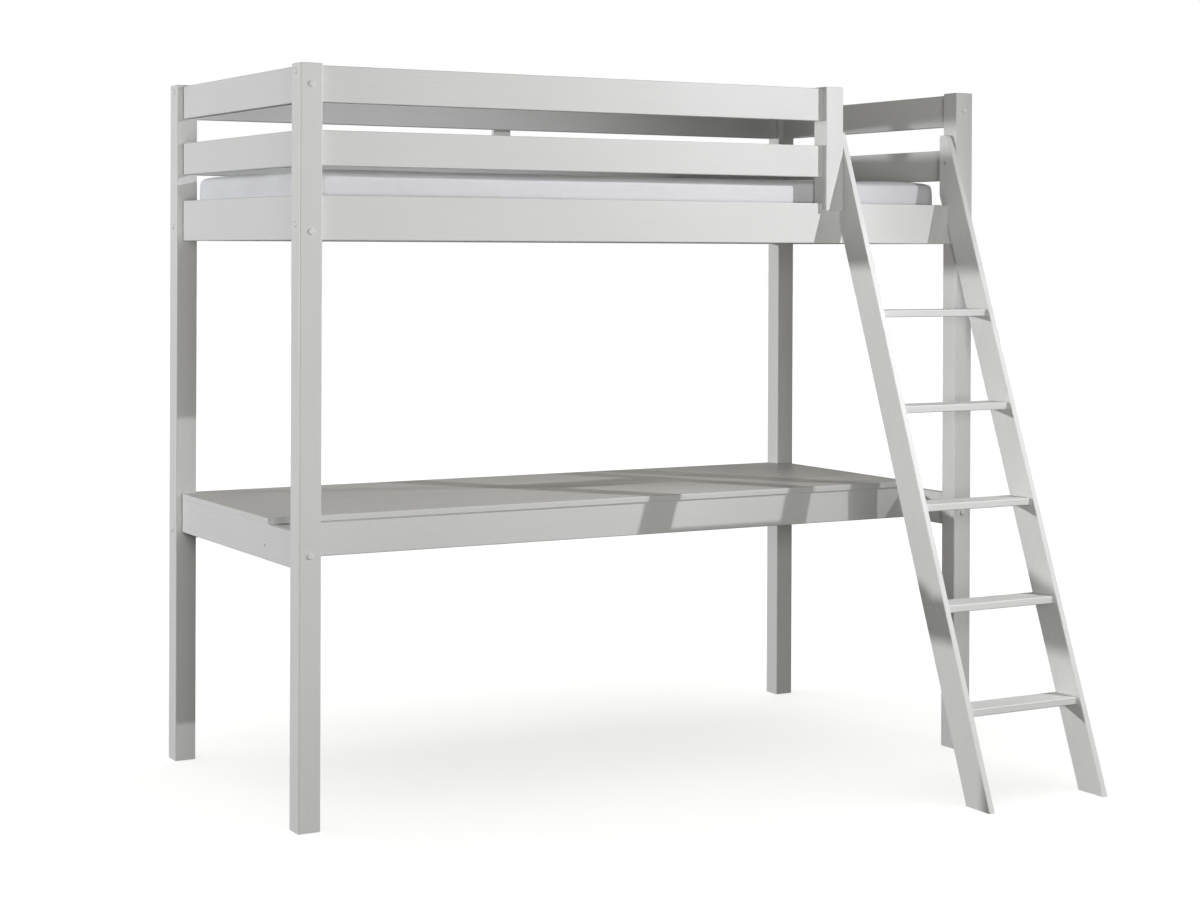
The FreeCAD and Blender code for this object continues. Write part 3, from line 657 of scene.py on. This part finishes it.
def mattress_cloth(name, settings, threads, tint=1.0):
    """White cover: fine weave, soft shallow folds and a light sheen."""
    material, tree, shader = new_material(name)
    point = board_point(tree)
    weave = use_group(tree, "Cloth Weave", Point=point, Threads=threads, Slub=0.4)
    marks = use_group(tree, "Handling Marks", Point=point, Cloud_Size=5.0)
    cover = tuple(channel * tint for channel in settings.cover)
    dim = tuple(channel * 0.93 for channel in cover)
    colour = mix_colour(tree, weave.outputs["Thread"], dim, cover)
    tone = ramp(tree, marks.outputs["Clouds"], 0.3, 0.7, 0.965, 1.02)
    colour = tinted(tree, colour, tone)
    link(tree, colour, shader.inputs["Base Color"])
    rough = ramp(tree, weave.outputs["Thread"], 0.0, 1.0, 0.94, 0.82)
    link(tree, rough, shader.inputs["Roughness"])
    shader.inputs["Sheen Weight"].default_value = 0.22
    shader.inputs["Sheen Roughness"].default_value = 0.5
    shader.inputs["Specular IOR Level"].default_value = 0.25
    folds = noise_value(tree, stretched(tree, point, (9.0, 9.0, 26.0)), 1.0, 4.0, 0.55, 0.6)
    soft = bumped(tree, shader, folds, 0.006, 0.5)
    bumped(tree, shader, weave.outputs["Height"], 0.00035, 1.0, soft)
    return material


# ---- Mattress mesh --------------------------------------------------------------------------
def rounded_ring(half_x, half_y, radius, per_corner):
    """Points of a rectangle with rounded corners, from the right side, counter-clockwise."""
    points = []
    for corner, (sx, sy) in enumerate(((1, 1), (-1, 1), (-1, -1), (1, -1))):
        cx, cy = sx * (half_x - radius), sy * (half_y - radius)
        for step in range(per_corner + 1):
            angle = math.radians(90.0 * corner + 90.0 * step / per_corner)
            points.append((cx + radius * math.cos(angle), cy + radius * math.sin(angle)))
    return points


def mattress_outline(inset):
    """Half length, half width and corner radius of the mattress, less an inset."""
    return MATTRESS_HALF.x - inset, MATTRESS_HALF.y - inset, CORNER_RADIUS - inset


def in_scene(name, data):
    """An object of the data, linked to the scene."""
    made = bpy.data.objects.new(name, data)
    bpy.context.scene.collection.objects.link(made)
    return made


def mesh_object(name, mesh):
    """Turns a closed bmesh into an object in the scene."""
    bmesh.ops.recalc_face_normals(mesh, faces=mesh.faces)
    data = bpy.data.meshes.new(name)
    mesh.to_mesh(data)
    mesh.free()
    return in_scene(name, data)


def shade_smooth(obj):
    for face in obj.data.polygons:
        face.use_smooth = True


def pad_mesh(name, inset):
    """A closed pad: stacked rounded rings with eased rims, capped flat."""
    half_x, half_y, corner = mattress_outline(inset)
    low, high = MATTRESS_LOW.z + GAP, MATTRESS_HIGH.z - inset + TOP_RAISE
    levels = []
    for step in range(7):
        angle = math.radians(15.0 * step)
        levels.append((low + RIM_RADIUS * (1 - math.cos(angle)),
                       RIM_RADIUS * (1 - math.sin(angle))))
    for step in range(7):
        angle = math.radians(90.0 - 15.0 * step)
        levels.append((high - RIM_RADIUS * (1 - math.cos(angle)),
                       RIM_RADIUS * (1 - math.sin(angle))))
    mesh = bmesh.new()
    rings = []
    for z, pull in levels:
        ring = rounded_ring(half_x - pull, half_y - pull, corner - pull, 8)
        rings.append([mesh.verts.new((MATTRESS_MIDDLE.x + x, MATTRESS_MIDDLE.y + y, z))
                      for x, y in ring])
    for lower, upper in zip(rings, rings[1:]):
        for i in range(len(lower)):
            j = (i + 1) % len(lower)
            mesh.faces.new((lower[i], lower[j], upper[j], upper[i]))
    mesh.faces.new(reversed(rings[0]))
    mesh.faces.new(rings[-1])
    return mesh_object(name, mesh)


def apply_modifiers(obj):
    """Replaces the object's mesh with its evaluated one and clears its modifiers."""
    graph = bpy.context.evaluated_depsgraph_get()
    data = bpy.data.meshes.new_from_object(obj.evaluated_get(graph))
    obj.modifiers.clear()
    old = obj.data
    obj.data = data
    bpy.data.meshes.remove(old)


def remesh(obj, size):
    made = obj.modifiers.new("Remesh", "REMESH")
    made.mode = "VOXEL"
    made.voxel_size = size
    made.use_smooth_shade = True
    apply_modifiers(obj)


def swell(obj, settings):
    """Fills the cover by cloth simulation, then limits how far each point has moved."""
    rest = [v.co.copy() for v in obj.data.vertices]
    cloth = obj.modifiers.new("Cloth", "CLOTH")
    for key, value in (("quality", 4), ("mass", 0.4), ("tension_stiffness", 30),
                       ("compression_stiffness", 30), ("shear_stiffness", 12),
                       ("bending_stiffness", 6), ("use_pressure", True),
                       ("uniform_pressure_force", settings.pressure)):
        setattr(cloth.settings, key, value)
    cloth.settings.effector_weights.gravity = 0
    cloth.collision_settings.use_collision = False
    cloth.point_cache.frame_start = 1
    cloth.point_cache.frame_end = settings.frames
    scene = bpy.context.scene
    for number in range(1, settings.frames + 1):
        scene.frame_set(number)
    graph = bpy.context.evaluated_depsgraph_get()
    moved = obj.evaluated_get(graph).to_mesh()
    places = [v.co.copy() for v in moved.vertices]
    obj.evaluated_get(graph).to_mesh_clear()
    obj.modifiers.clear()
    scene.frame_set(1)
    for vertex, start, end in zip(obj.data.vertices, rest, places):
        shift = end - start
        if shift.length > settings.swell:
            shift *= settings.swell / shift.length
        vertex.co = start + shift


def settle(obj):
    """Lays the underside flat on the slats and gives the upper faces a soft, uneven crown."""
    middle, half, floor = MATTRESS_MIDDLE, MATTRESS_HALF, MATTRESS_LOW.z
    for vertex in obj.data.vertices:
        place = vertex.co
        height = (place.z - floor) / (2 * half.z)
        rim = max(abs(place.x - middle.x) / half.x, abs(place.y - middle.y) / half.y)
        soft = noise.noise(Vector((place.x * 5.0, place.y * 5.0, place.z * 16.0)))
        fine = noise.noise(Vector((place.x * 17.0, place.y * 17.0, place.z * 30.0 + 4.0)))
        if height > 0.2:
            place.z += height * (0.0016 * soft + 0.0007 * fine)
        side = max(0.0, rim - 0.9) * 10.0
        away = Vector((place.x - middle.x, place.y - middle.y, 0.0))
        if side > 0.0 and away.length > 0.0:
            out = Vector((0.0, math.copysign(1.0, away.y), 0.0))
            if abs(away.x) / half.x > abs(away.y) / half.y:
                out = Vector((math.copysign(1.0, away.x), 0.0, 0.0))
            place += out * (0.0014 * soft + 0.0006 * fine) * min(1.0, side)
        place.z = min(max(place.z, floor + GAP), MATTRESS_HIGH.z + CROWN_LIMIT)


def seam_groove(obj, seam_z):
    """Pulls the side in along the seam, with small puckers across it."""
    middle, half = MATTRESS_MIDDLE, MATTRESS_HALF
    for vertex in obj.data.vertices:
        place = vertex.co
        near = abs(place.z - seam_z) / SEAM_WIDTH
        if near > 3.0:
            continue
        x_share = (abs(place.x - middle.x) - (half.x - SEAM_REACH)) / SEAM_REACH
        y_share = (abs(place.y - middle.y) - (half.y - SEAM_REACH)) / SEAM_REACH
        if max(x_share, y_share) < 0.5:
            continue
        out = Vector((max(0.0, x_share) * math.copysign(1.0, place.x - middle.x),
                      max(0.0, y_share) * math.copysign(1.0, place.y - middle.y), 0.0))
        if out.length == 0.0:
            continue
        along = place.x if y_share > x_share else place.y
        pucker = 0.75 + 0.25 * math.sin(along * 150.0 + 3.0 * math.sin(along * 11.0))
        place -= out.normalized() * SEAM_DEPTH * pucker * math.exp(-near * near)


def cord_round_pad(name, pad, z, radius):
    """A closed cord that lies on the pad's side at one height, as a mesh."""
    sides = BVHTree.FromPolygons([v.co for v in pad.data.vertices],
                                 [tuple(face.vertices) for face in pad.data.polygons])
    path = rounded_ring(*mattress_outline(0.0), 10)
    longest, outside, reach = 0.02, 0.03, 0.08  # of a step, and of the ray onto the side
    dense = []
    for (x0, y0), (x1, y1) in zip(path, path[1:] + path[:1]):
        steps = max(1, int(math.hypot(x1 - x0, y1 - y0) / longest))
        dense += [(x0 + (x1 - x0) * k / steps, y0 + (y1 - y0) * k / steps) for k in range(steps)]
    mesh = bmesh.new()
    rings = []
    count = len(dense)
    for i, (x, y) in enumerate(dense):
        ahead, behind = dense[(i + 1) % count], dense[i - 1]
        run = Vector((ahead[0] - behind[0], ahead[1] - behind[1], 0.0)).normalized()
        out = Vector((run.y, -run.x, 0.0))
        edge = Vector((MATTRESS_MIDDLE.x + x, MATTRESS_MIDDLE.y + y, z))
        laid = sides.ray_cast(edge + out * outside, -out, reach)[0] or edge
        laid = laid + out * radius * 0.4
        thick = radius * (1.0 + 0.10 * math.sin(i * 1.7))
        ring = []
        for turn in (math.radians(45.0 * k) for k in range(8)):
            rise = Vector((0, 0, thick * math.sin(turn)))
            ring.append(mesh.verts.new(laid + out * (thick * math.cos(turn)) + rise))
        rings.append(ring)
    for i in range(count):
        here, ahead = rings[i], rings[(i + 1) % count]
        for k in range(8):
            m = (k + 1) % 8
            mesh.faces.new((here[k], ahead[k], ahead[m], here[m]))
    made = mesh_object(name, mesh)
    shade_smooth(made)
    return made


# ---- Operators ------------------------------------------------------------------------------
class BED_OT_shared_effects(bpy.types.Operator):
    """Build the shared shader groups: rings, edge wear and painted edge shade, marks and weave"""
    bl_idname = "bed.shared_effects"
    bl_label = "Shared Effects"

    def execute(self, context):
        build_growth_rings()
        build_edge_wear_and_shade()
        build_handling_marks()
        build_cloth_weave()
        return {"FINISHED"}


class BED_OT_painted_frame(bpy.types.Operator):
    """Paint the posts, rails and guard boards, with the grain along each board"""
    bl_idname = "bed.painted_frame"
    bl_label = "Painted Frame"

    def execute(self, context):
        paint = context.scene.bed_paint
        dress(painted_pine("Painted Rail", (0.0, 0.0, 0.0), paint), *BOARDS_ALONG_X)
        dress(painted_pine("Painted End Rail", (0.0, 0.0, -math.pi / 2), paint), *BOARDS_ALONG_Y)
        dress(painted_pine("Painted Post", (0.0, math.pi / 2, 0.0), paint), *POSTS)
        return {"FINISHED"}


class BED_OT_painted_ladder(bpy.types.Operator):
    """Paint the ladder's stringers, with the grain along their lean"""
    bl_idname = "bed.painted_ladder"
    bl_label = "Painted Ladder"

    def execute(self, context):
        paint = context.scene.bed_paint
        lean = Matrix.Rotation(math.pi / 2, 3, "Y") @ Matrix.Rotation(-LADDER_LEAN, 3, "X")
        dress(painted_pine("Painted Stringer", tuple(lean.to_euler("XYZ")), paint), *STRINGERS)
        return {"FINISHED"}


class BED_OT_painted_desk_top(bpy.types.Operator):
    """Paint the desk's smooth top board"""
    bl_idname = "bed.painted_desk_top"
    bl_label = "Painted Desk Top"

    def execute(self, context):
        paint = context.scene.bed_paint
        dress(painted_pine("Painted Desk Top", (0.0, 0.0, 0.0), paint, smooth=True), "desk_top")
        return {"FINISHED"}


class BED_OT_bare_base(bpy.types.Operator):
    """Finish the slats, ledgers, dowels and webbing that stay unpainted"""
    bl_idname = "bed.bare_base"
    bl_label = "Bare Slatted Base"

    def execute(self, context):
        wood = context.scene.bed_wood
        slat = bare_pine("Bare Slat", (0.0, 0.0, -math.pi / 2), wood, cell=SLAT_CELL)
        ledger = bare_pine("Bare Ledger", (0.0, 0.0, 0.0), wood)
        dress(slat, "slats")
        dress(ledger, "slat_ledger_front", "slat_ledger_rear")
        dress(beech(wood), "wood_dowels")
        dress(webbing_cloth(), "slat_webbing")
        return {"FINISHED"}


class BED_OT_fasteners(bpy.types.Operator):
    """Finish the steel fasteners and the white plastic caps and plugs"""
    bl_idname = "bed.fasteners"
    bl_label = "Fasteners and Caps"

    def execute(self, context):
        dress(zinc_steel(), *STEEL)
        dress(white_plastic(), "bolt_caps", "ladder_screw_plugs")
        return {"FINISHED"}


class BED_OT_mattress(bpy.types.Operator):
    """Make the padded mattress and the piped seam of its cover"""
    bl_idname = "bed.mattress"
    bl_label = "Mattress"

    def execute(self, context):
        settings = context.scene.bed_mattress
        pad = pad_mesh("mattress_pad", settings.start_inset)
        remesh(pad, settings.voxel)
        swell(pad, settings)
        seam_z = MATTRESS_LOW.z + settings.seam_height
        settle(pad)
        smooth = pad.modifiers.new("Smooth", "SUBSURF")
        smooth.levels = smooth.render_levels = 1
        apply_modifiers(pad)
        seam_groove(pad, seam_z)
        for vertex in pad.data.vertices:
            vertex.co.z = max(vertex.co.z, MATTRESS_LOW.z + GAP)
        shade_smooth(pad)
        cover = mattress_cloth("Mattress Cover", settings, COVER_THREADS)
        pad.data.materials.append(cover)
        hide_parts("mattress")
        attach(pad, "mattress")
        seam = cord_round_pad("mattress_seam", pad, seam_z, settings.piping)
        cord = mattress_cloth("Mattress Piping", settings, PIPING_THREADS, tint=0.97)
        seam.data.materials.append(cord)
        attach(seam, "mattress")
        return {"FINISHED"}


class BED_OT_studio(bpy.types.Operator):
    """Make the pale floor, the soft studio light and the camera"""
    bl_idname = "bed.studio"
    bl_label = "Studio"

    def execute(self, context):
        settings = context.scene.bed_studio
        floor = self.floor()
        self.world(settings)
        self.lights(settings, floor)
        self.camera(context, settings)
        context.scene.view_settings.view_transform = "Standard"
        return {"FINISHED"}

    def floor(self):
        data = bpy.data.meshes.new("studio_floor")
        corners = [(x * FLOOR_REACH, y * FLOOR_REACH, -GAP)
                   for x, y in ((-1, -1), (1, -1), (1, 1), (-1, 1))]
        data.from_pydata(corners, [], [(0, 1, 2, 3)])
        floor = in_scene("studio_floor", data)
        material, tree, shader = new_material("Pale Studio Floor")
        point = board_point(tree)
        cloud = noise_value(tree, point, 0.8, 3.0)
        seen = mix_colour(tree, cloud, (0.90, 0.90, 0.90), (0.915, 0.915, 0.912))
        path = node(tree, "ShaderNodeLightPath")
        colour = mix_colour(tree, path.outputs["Is Camera Ray"], (0.15, 0.15, 0.148), seen)
        link(tree, colour, shader.inputs["Base Color"])
        link(tree, ramp(tree, cloud, 0.3, 0.7, 0.86, 0.94), shader.inputs["Roughness"])
        shader.inputs["Specular IOR Level"].default_value = 0.05
        shader.inputs["Emission Color"].default_value = (1.0, 1.0, 1.0, 1.0)
        link(tree, times(tree, path.outputs["Is Camera Ray"], 0.60),
             shader.inputs["Emission Strength"])
        data.materials.append(material)
        return floor

    def world(self, settings):
        world = bpy.data.worlds.new("Studio Room")
        bpy.context.scene.world = world
        world.use_nodes = True
        tree = world.node_tree
        tree.nodes.clear()
        path = node(tree, "ShaderNodeLightPath")
        way = node(tree, "ShaderNodeTexCoord")
        parts = node(tree, "ShaderNodeSeparateXYZ")
        link(tree, way.outputs["Generated"], parts.inputs[0])
        rear = ramp(tree, parts.outputs[1], 0.15, 0.75)
        low = ramp(tree, parts.outputs[2], 0.35, 0.75, 1.0, 0.0)
        wall = times(tree, times(tree, rear, low), settings.wall)
        even = node(tree, "ShaderNodeBackground", Color=(1.0, 0.965, 0.90, 1.0))
        link(tree, plus(tree, wall, settings.sky), even.inputs["Strength"])
        white = node(tree, "ShaderNodeBackground", Color=(1.0, 1.0, 1.0, 1.0), Strength=1.0)
        pick = node(tree, "ShaderNodeMixShader")
        end = node(tree, "ShaderNodeOutputWorld")
        link(tree, path.outputs["Is Camera Ray"], pick.inputs[0])
        link(tree, even.outputs[0], pick.inputs[1])
        link(tree, white.outputs[0], pick.inputs[2])
        link(tree, pick.outputs[0], end.inputs["Surface"])

    def lamp(self, name, kind, place, target, power, colour, size):
        data = bpy.data.lights.new(name, kind)
        data.energy = power
        data.color = colour
        if kind == "AREA":
            data.shape = "DISK"
            data.size = size
        if kind == "SPOT":
            data.shadow_soft_size = size
        made = in_scene(name, data)
        made.location = place
        made.visible_camera = False
        made.rotation_mode = "QUATERNION"
        made.rotation_quaternion = (Vector(target) - Vector(place)).to_track_quat("-Z", "Y")
        return made

    def reach(self, lamp, name, floor, state):
        """Leaves the floor out of a lamp's reach, or limits the lamp to it."""
        group = bpy.data.collections.new(name)
        group.objects.link(floor)
        for entry in group.collection_objects:
            entry.light_linking.link_state = state
        lamp.light_linking.receiver_collection = group

    def lights(self, settings, floor):
        cool, warm = (0.97, 0.985, 1.0), (1.0, 0.99, 0.965)
        middle = (0.0, 0.3, 1.0)
        key_target = Vector(settings.key_place) + Vector(settings.key_aim)
        key = self.lamp("studio_key", "SPOT", settings.key_place, key_target,
                        settings.key_power, cool, 0.025)
        key.data.spot_size, key.data.spot_blend = settings.key_cone, settings.key_blend
        self.reach(key, "Key Leaves Out", floor, "EXCLUDE")
        side = self.lamp("studio_side_light", "AREA", settings.side_place, middle,
                         settings.side_power, cool, 0.2)
        self.reach(side, "Side Leaves Out", floor, "EXCLUDE")
        fill = self.lamp("studio_front_fill", "AREA", settings.fill_place, middle,
                         settings.fill_power, warm, 1.4)
        self.reach(fill, "Fill Leaves Out", floor, "EXCLUDE")
        over = self.lamp("studio_floor_light", "SUN", (0.0, 0.0, 6.0), (0.0, 0.3, 0.0),
                         settings.floor_light, (1.0, 1.0, 1.0), 1.0)
        over.data.angle = math.radians(100.0)
        self.reach(over, "Floor Only", floor, "INCLUDE")

    def camera(self, context, settings):
        forward = Vector((math.sin(settings.yaw) * math.cos(settings.pitch),
                          math.cos(settings.yaw) * math.cos(settings.pitch),
                          -math.sin(settings.pitch)))
        level = Vector((math.cos(settings.yaw), -math.sin(settings.yaw), 0.0))
        upright = level.cross(forward)
        right = level * math.cos(settings.roll) + upright * math.sin(settings.roll)
        up = right.cross(forward)
        turn = Matrix((right, up, -forward)).transposed()
        data = bpy.data.cameras.new("studio_camera")
        data.sensor_width = 36.0
        data.lens = settings.lens
        data.shift_x, data.shift_y = settings.shift
        data.clip_end = 200.0
        made = in_scene("studio_camera", data)
        made.rotation_mode = "QUATERNION"
        made.rotation_quaternion = turn.to_quaternion()
        made.location = settings.camera_place
        context.scene.camera = made


# ---- Sidebar and registration ---------------------------------------------------------------
OPERATORS = (
    BED_OT_shared_effects, BED_OT_painted_frame, BED_OT_painted_ladder, BED_OT_painted_desk_top,
    BED_OT_bare_base, BED_OT_fasteners, BED_OT_mattress, BED_OT_studio,
)
GROUPS = (
    ("bed_paint", BedPaintSettings), ("bed_wood", BedBareWoodSettings),
    ("bed_mattress", BedMattressSettings), ("bed_studio", BedStudioSettings),
)


class BED_PT_sidebar(bpy.types.Panel):
    """The loft bed's pieces and settings"""
    bl_idname = "BED_PT_sidebar"
    bl_label = "Loft Bed"
    bl_space_type = "VIEW_3D"
    bl_region_type = "UI"
    bl_category = "Loft Bed"

    def draw(self, context):
        for operator in OPERATORS:
            self.layout.operator(operator.bl_idname)
        for name, group in GROUPS:
            column = self.layout.column(align=True)
            for field in group.__annotations__:
                column.prop(getattr(context.scene, name), field)


def register():
    for name, group in GROUPS:
        bpy.utils.register_class(group)
        setattr(bpy.types.Scene, name, PointerProperty(type=group))
    for operator in OPERATORS:
        bpy.utils.register_class(operator)
    bpy.utils.register_class(BED_PT_sidebar)


def unregister():
    bpy.utils.unregister_class(BED_PT_sidebar)
    for operator in reversed(OPERATORS):
        bpy.utils.unregister_class(operator)
    for name, group in reversed(GROUPS):
        delattr(bpy.types.Scene, name)
        bpy.utils.unregister_class(group)


def main():
    register()
    bpy.ops.bed.shared_effects()
    bpy.ops.bed.painted_frame()
    bpy.ops.bed.painted_ladder()
    bpy.ops.bed.painted_desk_top()
    bpy.ops.bed.bare_base()
    bpy.ops.bed.fasteners()
    bpy.ops.bed.mattress()
    bpy.ops.bed.studio()


if __name__ == "__main__":
    main()
